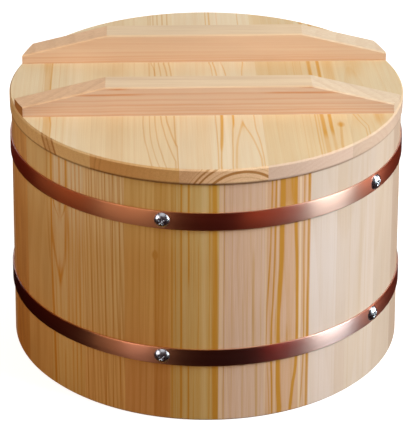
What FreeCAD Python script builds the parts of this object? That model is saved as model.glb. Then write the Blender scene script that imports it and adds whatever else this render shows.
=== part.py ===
import FreeCAD, Part
import math
import os

os.makedirs("parts", exist_ok=True)

V = FreeCAD.Vector
UP = V(0, 0, 1)

# Driving dimensions, in millimetres and degrees.
# Azimuths run round the tub from the front (-Y) towards the right (+X).

# Wall of staves
RIM_RADIUS = 130.0
BODY_HEIGHT = 170.2
WALL_DRAFT = 1.15
STAVE_THICKNESS = 14.0
STAVE_COUNT = 27
FIRST_SEAM_ANGLE = 1.67
RIM_BEVEL = 0.8
FOOT_BEVEL = 1.5

# Floor of boards in a groove round the inside of the wall, its seams as shares of its radius
FLOOR_THICKNESS = 12.0
FLOOR_RISE = 12.0
FLOOR_SEAM_SHARES = (-0.519, 0.034, 0.486)
FLOOR_EDGE_BEVEL = 3.0
GROOVE_DEPTH = 4.0
GROOVE_PLAY = 0.3

# Hoops
HOOP_WIDTH = 12.0
HOOP_THICKNESS = 1.2
HOOP_PLAY = 0.02
UPPER_HOOP_DROP = 25.7
LOWER_HOOP_RISE = 47.6
HOOP_LAP = 26.0
HOOP_LAP_STEP = 5.0
HOOP_LAP_PLAY = 0.1

# Hoop screws
SCREW_COUNT = 5
SCREW_SPACING_ANGLE = 68.0
FIRST_SCREW_ANGLE = -14.0
SCREW_HEAD_DIAMETER = 10.4
SCREW_HEAD_HEIGHT = 2.8
SCREW_SHANK_DIAMETER = 3.6
SCREW_SHANK_SIDES = 8
SCREW_GRIP = 9.0

# Bamboo pins, split square, between neighbouring staves
STAVE_PIN_WIDTH = 3.0
STAVE_PIN_LENGTH = 16.0

# Bamboo pins, split square, between neighbouring boards
BOARD_PIN_WIDTH = 4.0
BOARD_PIN_LENGTH = 24.0
BOARD_PIN_INSET = 34.0

# Lid, its seams as shares of its radius
LID_OVERHANG = 1.0
LID_EDGE_THICKNESS = 9.9
LID_STEP = 6.0
LID_PLAY = 1.5
LID_SEAM_SHARES = (-0.580, -0.160, 0.260, 0.679)
LID_BEVEL = 1.0

# Battens across the lid, the pair a little behind its middle
BATTEN_THICKNESS = 18.5
BATTEN_HEIGHT = 20.0
BATTEN_END_HEIGHT = 6.0
BATTEN_FLAT_TOP = 133.0
BATTEN_SPACING = 88.0
BATTEN_SHIFT = 3.2
BATTEN_EDGE_BEVEL = 0.8
BATTEN_PIN_WIDTH = 5.0
BATTEN_PIN_RISE = 10.0
BATTEN_PIN_DEPTH = 8.0

# Sizes worked out from those above
HALF_BATTEN_GAP = BATTEN_SPACING / 2
LID_RADIUS = RIM_RADIUS + LID_OVERHANG
LID_BOTTOM = BODY_HEIGHT - LID_STEP
LID_TOP = BODY_HEIGHT + LID_EDGE_THICKNESS
STAVE_ANGLE = 360.0 / STAVE_COUNT
WALL_SLOPE = math.tan(math.radians(WALL_DRAFT))
FLOOR_TOP = FLOOR_RISE + FLOOR_THICKNESS
HOOP_HEIGHTS = {"upper_hoop": BODY_HEIGHT - UPPER_HOOP_DROP, "lower_hoop": LOWER_HOOP_RISE}
STAVE_PIN_HEIGHT = sum(HOOP_HEIGHTS.values()) / 2


def outer_radius(height):
    """Radius of the wall's outside at a height: the tub widens a little towards its foot."""
    return RIM_RADIUS + WALL_SLOPE * (BODY_HEIGHT - height)


def inner_radius(height):
    return outer_radius(height) - STAVE_THICKNESS


def groove_radius():
    return inner_radius(FLOOR_RISE) + GROOVE_DEPTH


def around(shape, azimuth):
    """Turns a shape made at the front to an azimuth."""
    turned = shape.copy()
    turned.rotate(V(0, 0, 0), UP, azimuth)
    return turned


def closed_face(points):
    return Part.Face(Part.makePolygon(points + points[:1]))


def sector(points, start, sweep):
    """Turns an outline of (radius, height) points round the axis through part of a circle."""
    outline = closed_face([V(0, -radius, height) for radius, height in points])
    return around(outline.revolve(V(0, 0, 0), UP, sweep), start)


def wedge(start):
    """The space between two seams, from the foot to the rim."""
    far = V(0, -2 * RIM_RADIUS, 0)
    corners = [V(0, 0, 0)]
    for azimuth in (start, start + STAVE_ANGLE):
        corners.append(FreeCAD.Rotation(UP, azimuth).multVec(far))
    return closed_face(corners).extrude(UP * BODY_HEIGHT)


def stave_blank(azimuth):
    """A planed blank: curved in section, straight along its length and leaned to the wall's draft."""
    middle = BODY_HEIGHT / 2
    radius = outer_radius(middle)
    outline = [
        (radius - STAVE_THICKNESS, -BODY_HEIGHT),
        (radius, -BODY_HEIGHT),
        (radius, BODY_HEIGHT),
        (radius - STAVE_THICKNESS, BODY_HEIGHT),
    ]
    blank = sector(outline, -STAVE_ANGLE, 2 * STAVE_ANGLE)
    blank.translate(UP * middle)
    blank.rotate(V(0, -radius, middle), V(1, 0, 0), -WALL_DRAFT)
    return around(blank, azimuth)


def foot_cutter(start):
    """Takes the outer corner off a stave's foot."""
    reach = outer_radius(0)
    outline = [(reach - FOOT_BEVEL, 0), (reach, FOOT_BEVEL), (reach + FOOT_BEVEL, 0)]
    return sector(outline, start, STAVE_ANGLE)


def rim_cutter(start):
    """Takes the outer corner off a stave's top."""
    reach = outer_radius(BODY_HEIGHT)
    outline = [
        (reach - RIM_BEVEL, BODY_HEIGHT),
        (reach + RIM_BEVEL, BODY_HEIGHT),
        (outer_radius(BODY_HEIGHT - RIM_BEVEL), BODY_HEIGHT - RIM_BEVEL),
    ]
    return sector(outline, start, STAVE_ANGLE)


def groove_cutter(start):
    """Cuts the floor's groove, its upper side sloped to meet the bevelled floor."""
    bevel_run = groove_radius() - inner_radius(FLOOR_TOP)
    outline = [
        (groove_radius() - 2 * bevel_run, FLOOR_RISE),
        (groove_radius(), FLOOR_RISE),
        (groove_radius(), FLOOR_TOP - FLOOR_EDGE_BEVEL),
        (groove_radius() - 2 * bevel_run, FLOOR_TOP + FLOOR_EDGE_BEVEL),
    ]
    return sector(outline, start, STAVE_ANGLE)


def seam_azimuth(index):
    return FIRST_SEAM_ANGLE + index * STAVE_ANGLE


def level_pin(length, width, centre):
    """A square pin lying along X about its centre."""
    corner = centre - V(length, width, width) * 0.5
    return Part.makeBox(length, width, width, corner)


def stave_pin(azimuth):
    """The pin across the joint between two staves, in the middle of the wall."""
    middle = outer_radius(STAVE_PIN_HEIGHT) - STAVE_THICKNESS / 2
    pin = level_pin(STAVE_PIN_LENGTH, STAVE_PIN_WIDTH, V(0, -middle, STAVE_PIN_HEIGHT))
    return around(pin, azimuth)


def screw_azimuths():
    return [FIRST_SCREW_ANGLE + index * SCREW_SPACING_ANGLE for index in range(SCREW_COUNT)]


def frontness(azimuth):
    """How far an azimuth faces forward: 1 at the front, -1 at the back."""
    return math.cos(math.radians(azimuth))


def lap_azimuth():
    """A hoop's ends lap under the screw nearest the back."""
    return min(screw_azimuths(), key=frontness)


def lap_lift():
    return HOOP_PLAY + HOOP_THICKNESS + HOOP_LAP_PLAY


def screw_lift(azimuth):
    """Height of a screw's seat over the wall: the lapped ends raise the one that holds them."""
    seat = HOOP_PLAY
    if azimuth == lap_azimuth():
        seat = lap_lift()
    return seat + HOOP_THICKNESS


def stood_on_wall(shape, height):
    """Lays a shape made along +Z square to the front wall's sloping face, its base in that face."""
    shape.rotate(V(0, 0, 0), V(1, 0, 0), 90 - WALL_DRAFT)
    shape.translate(V(0, -outer_radius(height), height))
    return shape


def screw_shank(top):
    """The threaded shank, as a bar of few sides and the thread's mean width."""
    corners = []
    for side in range(SCREW_SHANK_SIDES):
        turn = 2 * math.pi * side / SCREW_SHANK_SIDES
        corners.append(V(math.cos(turn), math.sin(turn), 0) * (SCREW_SHANK_DIAMETER / 2) - UP * SCREW_GRIP)
    return closed_face(corners).extrude(UP * (SCREW_GRIP + top))


def screw_dome():
    """A cap of a ball, as wide and as high as the screw's head, standing on z = 0."""
    radius = SCREW_HEAD_DIAMETER / 2
    ball_radius = (radius ** 2 + SCREW_HEAD_HEIGHT ** 2) / (2 * SCREW_HEAD_HEIGHT)
    ball = Part.makeSphere(ball_radius, V(0, 0, SCREW_HEAD_HEIGHT - ball_radius))
    return ball.common(Part.makeCylinder(ball_radius, SCREW_HEAD_HEIGHT))


def hoop_screw(height, lift):
    """A domed screw at the front: head on the hoop, shank in the stave."""
    head = screw_dome()
    head.translate(UP * lift)
    return stood_on_wall(head.fuse(screw_shank(lift)).removeSplitter(), height)


def hoop_screws(height):
    return [around(hoop_screw(height, screw_lift(azimuth)), azimuth) for azimuth in screw_azimuths()]


def screw_hole(azimuth, height):
    """Hole for a screw's shank, through a hoop's one or two layers and into a stave."""
    clear_of_hoop = screw_lift(lap_azimuth()) + HOOP_THICKNESS
    return around(stood_on_wall(screw_shank(clear_of_hoop), height), azimuth)


def nearby(azimuth, middle, reach):
    """Whether an azimuth lies within reach of a middle azimuth, going either way round."""
    return frontness(azimuth - middle) > frontness(reach)


def stave(index):
    """One stave between two seams, drilled for its pins and for any screw that enters it."""
    start = seam_azimuth(index)
    body = stave_blank(start + STAVE_ANGLE / 2).common(wedge(start))
    for cutter in (foot_cutter, rim_cutter, groove_cutter):
        body = body.cut(cutter(start))
    for seam in (start, start + STAVE_ANGLE):
        body = body.cut(stave_pin(seam))
    for azimuth in screw_azimuths():
        if nearby(azimuth, start + STAVE_ANGLE / 2, STAVE_ANGLE):
            for height in HOOP_HEIGHTS.values():
                body = body.cut(screw_hole(azimuth, height))
    return body


def strip_outline(height, lift):
    """Section of a hoop's strip at a height, its back lifted off the wall and following its slope."""
    outline = []
    for level in (height - HOOP_WIDTH / 2, height + HOOP_WIDTH / 2):
        outline.append((outer_radius(level) + lift, level))
        outline.append((outer_radius(level) + lift + HOOP_THICKNESS, level))
    return [outline[0], outline[1], outline[3], outline[2]]


def strip_end(height, lift, azimuth):
    """Outline of a hoop's strip, cut square across at an azimuth."""
    corners = [V(0, -radius, level) for radius, level in strip_outline(height, lift)]
    return around(Part.makePolygon(corners + corners[:1]), azimuth)


def hoop(height):
    """A strip right round the wall; its end steps up over its start and laps it under a screw."""
    degrees_per_mm = math.degrees(1 / outer_radius(height))
    lap = HOOP_LAP * degrees_per_mm
    step = HOOP_LAP_STEP * degrees_per_mm
    start = lap_azimuth() - lap / 2
    ring = sector(strip_outline(height, HOOP_PLAY), start, 360 - step)
    tab = sector(strip_outline(height, lap_lift()), start, lap)
    rise = Part.makeLoft(
        [strip_end(height, HOOP_PLAY, start - step), strip_end(height, lap_lift(), start)], True, True)
    band = ring.fuse([rise, tab])
    for azimuth in screw_azimuths():
        band = band.cut(screw_hole(azimuth, height))
    return band


def seam_places(shares, radius):
    return [share * radius for share in shares]


def slab(low, high, radius, bottom, top):
    """A box that takes one board out of a disc, between two seams."""
    return Part.makeBox(high - low, 2 * radius, top - bottom, V(low, -radius, bottom))


def board_slabs(seams, radius, bottom, top):
    edges = [-radius] + seams + [radius]
    return [slab(low, high, radius, bottom, top) for low, high in zip(edges, edges[1:])]


def board_pins(seams, radius, height):
    """Pins across each seam, a little way in from both ends of the joint."""
    pins = []
    for seam in seams:
        reach = math.sqrt(radius ** 2 - (abs(seam) + BOARD_PIN_LENGTH / 2) ** 2) - BOARD_PIN_INSET
        for place in (-reach, reach):
            pins.append(level_pin(BOARD_PIN_LENGTH, BOARD_PIN_WIDTH, V(seam, place, height)))
    return pins


def drilled(body, pins):
    """Cuts from a board the places of the pins that reach into it."""
    for pin in pins:
        if body.BoundBox.intersect(pin.BoundBox):
            body = body.cut(pin)
    return body


def floor_disc():
    """The floor: a disc with its upper edge bevelled to enter the groove."""
    radius = groove_radius() - GROOVE_PLAY
    bevel_in = radius - (groove_radius() - inner_radius(FLOOR_TOP))
    outline = [
        (0, FLOOR_RISE),
        (radius, FLOOR_RISE),
        (radius, FLOOR_TOP - FLOOR_EDGE_BEVEL),
        (bevel_in, FLOOR_TOP),
        (0, FLOOR_TOP),
    ]
    return sector(outline, 0, 360)


def floor_boards(seams, pins):
    disc = floor_disc()
    slabs = board_slabs(seams, groove_radius(), FLOOR_RISE, FLOOR_TOP)
    return [drilled(disc.common(piece), pins) for piece in slabs]


def lid_disc():
    """The lid: flush with the wall above the rim, stepped in to drop inside it below."""
    step_radius = inner_radius(BODY_HEIGHT) - LID_PLAY
    outline = [
        (0, LID_BOTTOM),
        (step_radius, LID_BOTTOM),
        (step_radius, BODY_HEIGHT),
        (LID_RADIUS, BODY_HEIGHT),
        (LID_RADIUS, LID_TOP - LID_BEVEL),
        (LID_RADIUS - LID_BEVEL, LID_TOP),
        (0, LID_TOP),
    ]
    return sector(outline, 0, 360)


def batten_places():
    return {"front_batten": BATTEN_SHIFT - HALF_BATTEN_GAP, "back_batten": BATTEN_SHIFT + HALF_BATTEN_GAP}


def batten_height(across):
    """Height of a batten's top over the lid, at a distance from its middle."""
    slope_run = math.sqrt(LID_RADIUS ** 2 - HALF_BATTEN_GAP ** 2) - BATTEN_FLAT_TOP / 2
    fall = (BATTEN_HEIGHT - BATTEN_END_HEIGHT) / slope_run
    return BATTEN_HEIGHT - fall * max(0.0, abs(across) - BATTEN_FLAT_TOP / 2)


def batten_pins(place):
    """Upright pins, one in the middle of the batten's length on each lid board."""
    reach = math.sqrt(LID_RADIUS ** 2 - (abs(place) + BATTEN_THICKNESS / 2) ** 2)
    edges = [-reach] + seam_places(LID_SEAM_SHARES, LID_RADIUS) + [reach]
    half = BATTEN_PIN_WIDTH / 2
    pins = []
    for low, high in zip(edges, edges[1:]):
        middle = (low + high) / 2
        length = BATTEN_PIN_DEPTH + min(BATTEN_PIN_RISE, batten_height(middle) / 2)
        corner = V(middle - half, place - half, LID_TOP - BATTEN_PIN_DEPTH)
        pins.append(Part.makeBox(BATTEN_PIN_WIDTH, BATTEN_PIN_WIDTH, length, corner))
    return pins


def runs_along_top(edge):
    """Whether an edge is one of a batten's long upper ones."""
    box = edge.BoundBox
    lengthwise = box.YLength < BATTEN_EDGE_BEVEL and box.XLength > BATTEN_THICKNESS
    return lengthwise and box.ZMax > LID_TOP + BATTEN_EDGE_BEVEL


def batten(place):
    """A bar with a flat middle and straight slopes down to its ends, cut to the lid's edge."""
    half = BATTEN_FLAT_TOP / 2
    front = place - BATTEN_THICKNESS / 2
    points = [
        V(-LID_RADIUS, front, LID_TOP),
        V(-LID_RADIUS, front, LID_TOP + batten_height(LID_RADIUS)),
        V(-half, front, LID_TOP + BATTEN_HEIGHT),
        V(half, front, LID_TOP + BATTEN_HEIGHT),
        V(LID_RADIUS, front, LID_TOP + batten_height(LID_RADIUS)),
        V(LID_RADIUS, front, LID_TOP),
    ]
    bar = closed_face(points).extrude(V(0, BATTEN_THICKNESS, 0))
    bar = bar.common(Part.makeCylinder(LID_RADIUS - LID_BEVEL, BATTEN_HEIGHT, V(0, 0, LID_TOP)))
    bar = bar.makeChamfer(BATTEN_EDGE_BEVEL, [edge for edge in bar.Edges if runs_along_top(edge)])
    for pin in batten_pins(place):
        bar = bar.cut(pin)
    return bar


def all_batten_pins():
    return [pin for place in batten_places().values() for pin in batten_pins(place)]


def lid_boards(seams, pins):
    disc = lid_disc()
    slabs = board_slabs(seams, LID_RADIUS, LID_BOTTOM, LID_TOP)
    return [drilled(disc.common(piece), pins + all_batten_pins()) for piece in slabs]


def save(name, shape):
    shape.exportStep("parts/" + name + ".step")


def save_group(name, shapes):
    save(name, Part.makeCompound(shapes))


def main():
    for index in range(STAVE_COUNT):
        save("stave_%02d" % (index + 1), stave(index))
    save_group("stave_pins", [stave_pin(seam_azimuth(index)) for index in range(STAVE_COUNT)])

    floor_seams = seam_places(FLOOR_SEAM_SHARES, groove_radius())
    floor_pins = board_pins(floor_seams, groove_radius(), FLOOR_RISE + FLOOR_THICKNESS / 2)
    for index, board in enumerate(floor_boards(floor_seams, floor_pins)):
        save("floor_board_%d" % (index + 1), board)
    save_group("floor_pins", floor_pins)

    for name, height in HOOP_HEIGHTS.items():
        save(name, hoop(height))
        save_group(name + "_screws", hoop_screws(height))

    lid_seams = seam_places(LID_SEAM_SHARES, LID_RADIUS)
    lid_pins = board_pins(lid_seams, LID_RADIUS, BODY_HEIGHT + LID_EDGE_THICKNESS / 2)
    for index, board in enumerate(lid_boards(lid_seams, lid_pins)):
        save("lid_board_%d" % (index + 1), board)
    save_group("lid_pins", lid_pins)

    for name, place in batten_places().items():
        save(name, batten(place))
    save_group("batten_pins", all_batten_pins())


main()
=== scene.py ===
import logging
import math
from dataclasses import dataclass, field, replace
from enum import Enum
from typing import Iterable, Sequence, Union

import bmesh
import bpy
import numpy as np
from mathutils import Matrix, Vector


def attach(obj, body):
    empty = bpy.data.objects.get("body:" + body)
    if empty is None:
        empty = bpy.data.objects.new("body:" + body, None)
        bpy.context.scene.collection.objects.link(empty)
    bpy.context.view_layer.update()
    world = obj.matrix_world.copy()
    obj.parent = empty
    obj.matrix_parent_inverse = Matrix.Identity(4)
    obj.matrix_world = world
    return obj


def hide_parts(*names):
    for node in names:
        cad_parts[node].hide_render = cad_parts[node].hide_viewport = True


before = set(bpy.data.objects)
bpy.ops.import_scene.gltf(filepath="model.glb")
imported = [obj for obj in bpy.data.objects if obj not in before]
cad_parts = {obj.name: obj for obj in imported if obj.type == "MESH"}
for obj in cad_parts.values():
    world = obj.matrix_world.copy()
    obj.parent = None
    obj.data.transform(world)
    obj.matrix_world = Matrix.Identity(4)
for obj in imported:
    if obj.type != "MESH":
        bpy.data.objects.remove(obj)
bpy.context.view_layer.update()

logging.basicConfig(level=logging.INFO, format="%(message)s")
LOG = logging.getLogger("rice_tub")

MM = 0.001
BODY = "root"
WHITE = (1.0, 1.0, 1.0)
# The colour of the painted shade in the gap where the lid meets the wall.
JOINT_SHADE_COLOUR = (0.10, 0.04, 0.012)
WALL_DRAFT = math.radians(1.15)
# In millimetres: the wall's rim, the heights between which painted shade rises to the wall's and to the lid's
# side of their joint, those between which a stave's painted light and shade at foot and head fade, and a
# length past any piece.
WALL_RADIUS = 130.0
RIM_HEIGHT = 170.2
RIM_JOINT = (168.6, 169.8)
LID_JOINT = (171.7, 170.3)
FOOT_FADE = (20.0, 95.0)
HEAD_FADE = (105.0, 162.0)
ENDLESS = 400.0
# The node groups' sockets that take vectors and colours. All others take numbers.
VECTORS = ("Vector", "Place", "Pith", "Normal", "Axis")
COLOURS = ("Foot", "Head", "Shade")

Colour = tuple[float, float, float]
Socket = bpy.types.NodeSocket
Mesh = bpy.types.Mesh
Material = bpy.types.Material
Feed = Union[Socket, float, Sequence[float], None]


class Way(Enum):
    """How a piece of wood lies: the turn that brings its grain onto Y of the grain's own space."""

    UPRIGHT = "upright"
    FRONT_TO_BACK = "front_to_back"
    SIDE_TO_SIDE = "side_to_side"


# ---------------------------------------------------------------- shader graphs


class Graph:
    """Adds nodes to one shader tree and links them."""

    def __init__(self, tree: bpy.types.NodeTree) -> None:
        """Takes the tree to draw in: a material's, a world's or a node group's."""
        self.tree = tree

    def node(self, kind: str, **settings: object) -> bpy.types.Node:
        """Adds one node.

        Args:
            kind: the node's type, without the word ShaderNode.
            settings: its properties.

        Returns:
            The new node.
        """
        made = self.tree.nodes.new("ShaderNode" + kind)
        for name, value in settings.items():
            setattr(made, name, value)
        return made

    def feed(self, socket: Socket, value: Feed) -> None:
        """Links a socket to another, or sets its plain value.

        Args:
            socket: the input to feed.
            value: a socket, a number or a tuple.
        """
        if isinstance(value, Socket):
            self.tree.links.new(value, socket)
        else:
            if socket.type == "RGBA" and len(value) == 3:
                value = (*value, 1.0)
            socket.default_value = value

    def fill(self, node: bpy.types.Node, values: dict[str, Feed]) -> bpy.types.Node:
        """Feeds a node's inputs by name.

        Args:
            node: the node.
            values: what to feed, by the input's name with _ for a space.

        Returns:
            The node.
        """
        for name, value in values.items():
            self.feed(node.inputs[name.replace("_", " ")], value)
        return node

    def answer(self, node: bpy.types.Node, *values: Feed) -> Socket:
        """Feeds a node's inputs in their order.

        Args:
            node: the node.
            values: what to feed.

        Returns:
            The node's first output.
        """
        for socket, value in zip(node.inputs, values):
            self.feed(socket, value)
        return node.outputs[0]

    def math(self, operation: str, *values: Feed, clamp: bool = False) -> Socket:
        """One step of arithmetic on one to three values, kept between 0 and 1 where it is clamped."""
        return self.answer(self.node("Math", operation=operation, use_clamp=clamp), *values)

    def times(self, one: Feed, two: Feed) -> Socket:
        """The product of two values."""
        return self.math("MULTIPLY", one, two)

    def less(self, one: Feed, two: Feed) -> Socket:
        """One value less another."""
        return self.math("SUBTRACT", one, two)

    def over(self, one: Feed, two: Feed) -> Socket:
        """One value over another."""
        return self.math("DIVIDE", one, two)

    def length(self, one: Feed, two: Feed) -> Socket:
        """The root of the sum of two values' squares."""
        squares = [self.math("POWER", value, 2.0) for value in (one, two)]
        return self.math("SQRT", self.total(squares))

    def total(self, values: Iterable[Feed]) -> Feed:
        """Adds up several values.

        Args:
            values: sockets or numbers.

        Returns:
            Their sum, or 0 when there are none.
        """
        answer: Feed = None
        for value in values:
            answer = value if answer is None else self.math("ADD", answer, value)
        return 0.0 if answer is None else answer

    def span(self, value: Feed, low: Feed, high: Feed, start: Feed = 0.0, end: Feed = 1.0,
             smooth: bool = True) -> Socket:
        """Maps low to high onto start to end, held still outside, with both ends eased where it is smooth."""
        kind = "SMOOTHSTEP" if smooth else "LINEAR"
        return self.answer(self.node("MapRange", interpolation_type=kind), value, low, high, start, end)

    def blend(self, share: Feed, first: Feed, second: Feed, mode: str = "MIX") -> Socket:
        """Mixes two colours.

        Args:
            share: how much of the second.
            first: a colour.
            second: a colour.
            mode: the Mix node's blend type.

        Returns:
            The colour's socket.
        """
        made = self.node("Mix", data_type="RGBA", blend_type=mode)
        for index, value in ((0, share), (6, first), (7, second)):
            self.feed(made.inputs[index], value)
        return made.outputs[2]

    def noise(self, vector: Feed, scale: float, detail: float, seed: Feed) -> Socket:
        """Soft noise from 0 to 1 at a place: how fine it is, its finer layers and which series it is from."""
        made = self.node("TexNoise", noise_dimensions="4D")
        return self.fill(made, {"Vector": vector, "W": seed, "Scale": scale, "Detail": detail}).outputs["Fac"]

    def stretched(self, vector: Feed, amounts: Sequence[float]) -> Socket:
        """A place scaled along each of its axes."""
        return self.answer(self.node("VectorMath", operation="MULTIPLY"), vector, amounts)

    def parts(self, vector: Feed) -> tuple[Socket, ...]:
        """Splits a place into its three numbers."""
        return tuple(self.fill(self.node("SeparateXYZ"), {"Vector": vector}).outputs)

    def joined(self, *values: Feed) -> Socket:
        """Joins three numbers into a place."""
        return self.answer(self.node("CombineXYZ"), *values)

    def coordinate(self, kind: str) -> Socket:
        """A coordinate of the piece, by its name."""
        return self.node("TexCoord").outputs[kind]

    def group(self, name: str, **values: Feed) -> bpy.types.Node:
        """Places the node group of a name and feeds its inputs by theirs."""
        return self.fill(self.node("Group", node_tree=bpy.data.node_groups[name]), values)

    def show(self, socket: Socket, kind: str = "Material") -> None:
        """Ends the tree in its output."""
        self.fill(self.node("Output" + kind), {"Surface": socket})

    def surface(self, **values: Feed) -> None:
        """Ends the tree in one shader, fed by its inputs' names."""
        self.show(self.fill(self.node("BsdfPrincipled"), values).outputs[0])


def new_material(name: str) -> tuple[Material, Graph]:
    """Starts a material.

    Args:
        name: its name.

    Returns:
        The material and its empty graph.
    """
    made = bpy.data.materials.new(name)
    made.use_nodes = True
    made.node_tree.nodes.clear()
    return made, Graph(made.node_tree)


class WoodGroups:
    """The effects that every wooden piece shares. A place is (across, along, depth) in millimetres."""

    def __init__(self) -> None:
        """Draws every effect as a node group."""
        for draw in (self.wall_space, self.growth_rings, self.bold_ring, self.streak, self.fibre, self.knot,
                     self.facing, self.painted_height_light, self.painted_joint_shade):
            draw()

    @staticmethod
    def start(name: str, inputs: str, outputs: str) -> tuple[Graph, Socket, Socket]:
        """Starts a node group. Its sockets take numbers, apart from those named as vectors and colours.

        Args:
            name: the group's name.
            inputs: its inputs' names, with spaces between.
            outputs: its outputs' names.

        Returns:
            The group's graph, its input sockets and its output sockets.
        """
        tree = bpy.data.node_groups.new(name, "ShaderNodeTree")
        for labels, side in ((inputs, "INPUT"), (outputs, "OUTPUT")):
            for label in labels.split():
                kind = "Vector" if label in VECTORS else "Color" if label in COLOURS else "Float"
                tree.interface.new_socket(label, in_out=side, socket_type="NodeSocket" + kind)
        return Graph(tree), tree.nodes.new("NodeGroupInput").outputs, tree.nodes.new("NodeGroupOutput").inputs

    def wall_space(self) -> None:
        """Place on a round wall: arc length from the stave's middle, height, depth from the outside."""
        graph, given, out = self.start("wall_space", "Vector Radius", "Place")
        x, y, z = graph.parts(given["Vector"])
        angle = graph.math("ARCTAN2", x, graph.times(y, -1.0))
        depth = graph.less(graph.length(x, y), given["Radius"])
        graph.feed(out["Place"], graph.joined(graph.times(angle, given["Radius"]), z, depth))

    def growth_rings(self) -> None:
        """Growth rings: distance from the pith, less the trunk's taper, counted in ring widths.

        Late wood darkens slowly through each ring and ends sharply. Each ring has its own strength.
        """
        graph, given, out = self.start("growth_rings", "Place Pith Taper Spacing Waver Seed", "Late Reach")
        wave = graph.noise(graph.stretched(given["Place"], (0.022, 0.006, 0.02)), 1.0, 2.0, given["Seed"])
        offset = graph.answer(graph.node("VectorMath", operation="SUBTRACT"), given["Place"], given["Pith"])
        across, along, depth = graph.parts(offset)
        leaned = graph.less(graph.length(across, depth), graph.times(along, given["Taper"]))
        wavy = graph.math("ADD", leaned, graph.times(graph.less(wave, 0.5), given["Waver"]))
        count = graph.over(wavy, given["Spacing"])
        within = graph.math("FRACT", count)
        white = graph.fill(graph.node("TexWhiteNoise", noise_dimensions="2D"),
                           {"Vector": graph.joined(graph.math("FLOOR", count), given["Seed"], 0.0)})
        strength = graph.span(white.outputs["Value"], 0.0, 1.0, 0.3, 1.0, smooth=False)
        late = graph.times(graph.span(within, 0.25, 0.9), graph.span(within, 0.9, 1.0, 1.0, 0.0))
        graph.feed(out["Late"], graph.times(late, strength))
        graph.feed(out["Reach"], wavy)

    def bold_ring(self) -> None:
        """One bold growth ring: how near a place's distance from the pith comes to the ring's own."""
        graph, given, out = self.start("bold_ring", "Reach Ring Width Strength", "Mask")
        gap = graph.over(graph.math("ABSOLUTE", graph.less(given["Reach"], given["Ring"])), given["Width"])
        graph.feed(out["Mask"], graph.times(graph.span(gap, 0.3, 1.0, 1.0, 0.0), given["Strength"]))

    def streak(self) -> None:
        """One streak: how near a place lies to a wavering line along the grain.

        The mask is full inside the sharp share of the half width and fades to nothing at the half width.
        """
        inputs = "Place Centre Width Sharp Waver From To Strength Seed"
        graph, given, out = self.start("streak", inputs, "Mask")
        across, along, _ = graph.parts(given["Place"])
        wave = graph.noise(graph.joined(0.0, graph.times(along, 0.03), 0.0), 1.0, 2.0, given["Seed"])
        bend = graph.math("MULTIPLY_ADD", graph.less(wave, 0.5), given["Waver"], given["Centre"])
        away = graph.over(graph.math("ABSOLUTE", graph.less(across, bend)), given["Width"])
        nearer = graph.math("MINIMUM", graph.less(along, given["From"]), graph.less(given["To"], along))
        mask = graph.times(graph.span(away, given["Sharp"], 1.0, 1.0, 0.0), graph.span(nearer, -8.0, 8.0))
        graph.feed(out["Mask"], graph.times(mask, given["Strength"]))

    def fibre(self) -> None:
        """Fine fibres: noise drawn out along the grain, in three sizes."""
        graph, given, out = self.start("fibre", "Place Seed", "Fine Broad Cloud")
        for label, fineness, detail, low in (("Fine", (1.6, 0.02, 1.6), 3.0, 0.3),
                                             ("Broad", (0.28, 0.006, 0.28), 3.0, 0.32),
                                             ("Cloud", (0.03, 0.012, 0.03), 2.0, 0.3)):
            noise = graph.noise(graph.stretched(given["Place"], fineness), 1.0, detail, given["Seed"])
            graph.feed(out[label], graph.span(noise, low, 1.0 - low))

    def knot(self) -> None:
        """A small knot: a dark middle with a soft edge, longer along the grain than across."""
        graph, given, out = self.start("knot", "Place Across Along Size Strength", "Mask")
        across, along, _ = graph.parts(given["Place"])
        ahead = graph.times(graph.less(along, given["Along"]), 0.6)
        away = graph.over(graph.length(graph.less(across, given["Across"]), ahead), given["Size"])
        graph.feed(out["Mask"], graph.times(graph.span(away, 0.3, 1.0, 1.0, 0.0), given["Strength"]))

    def facing(self) -> None:
        """How squarely a surface faces along an axis, for end grain and for the painted light and shade on a
        bar's top and slopes.
        """
        graph, given, out = self.start("facing", "Normal Axis Strength Low High", "Mask")
        dot = graph.node("VectorMath", operation="DOT_PRODUCT")
        graph.answer(dot, given["Normal"], given["Axis"])
        faced = graph.span(dot.outputs["Value"], given["Low"], given["High"])
        graph.feed(out["Mask"], graph.times(faced, given["Strength"]))

    def painted_height_light(self) -> None:
        """Painted light and shade up and down an upright piece: its foot's tint, eased away towards the
        middle, and its head's above that.
        """
        graph, given, out = self.start("painted_height_light", "Place Foot Head", "Shade")
        along = graph.parts(given["Place"])[1]
        low = graph.blend(graph.span(along, *FOOT_FADE), given["Foot"], WHITE)
        graph.feed(out["Shade"], graph.blend(graph.span(along, *HEAD_FADE), low, given["Head"]))

    def painted_joint_shade(self) -> None:
        """Painted shade in the gap where lid and wall meet: a mask that rises from one height of the tub to
        another, in millimetres.
        """
        graph, given, out = self.start("painted_joint_shade", "Vector Low High Strength", "Mask")
        height = graph.over(graph.parts(given["Vector"])[2], MM)
        graph.feed(out["Mask"], graph.span(height, given["Low"], given["High"], 0.0, given["Strength"]))


# ---------------------------------------------------------------- wood


@dataclass(frozen=True)
class Streak:
    """A streak along a piece, in millimetres: (along, across) points, its half width and how strong it is.

    A strength above 0 is late wood, and one below 0 is paler than the ground.
    """

    path: tuple[tuple[float, float], ...]
    width: float
    strength: float = 0.7
    sharp: float = 0.3
    waver: float = 0.5
    start: float = -ENDLESS
    end: float = ENDLESS


@dataclass(frozen=True)
class Knot:
    """A knot, in millimetres across and along its piece."""

    across: float
    along: float
    size: float
    strength: float


@dataclass(frozen=True)
class Band:
    """A bold growth ring on end grain: its distance from the pith, its half width and its strength."""

    ring: float
    width: float
    strength: float


@dataclass(frozen=True)
class Rings:
    """Where a piece lay in its trunk, in millimetres."""

    pith: tuple[float, float, float]
    width: float
    taper: float
    waver: float
    contrast: float
    bands: tuple[Band, ...] = ()


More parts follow.
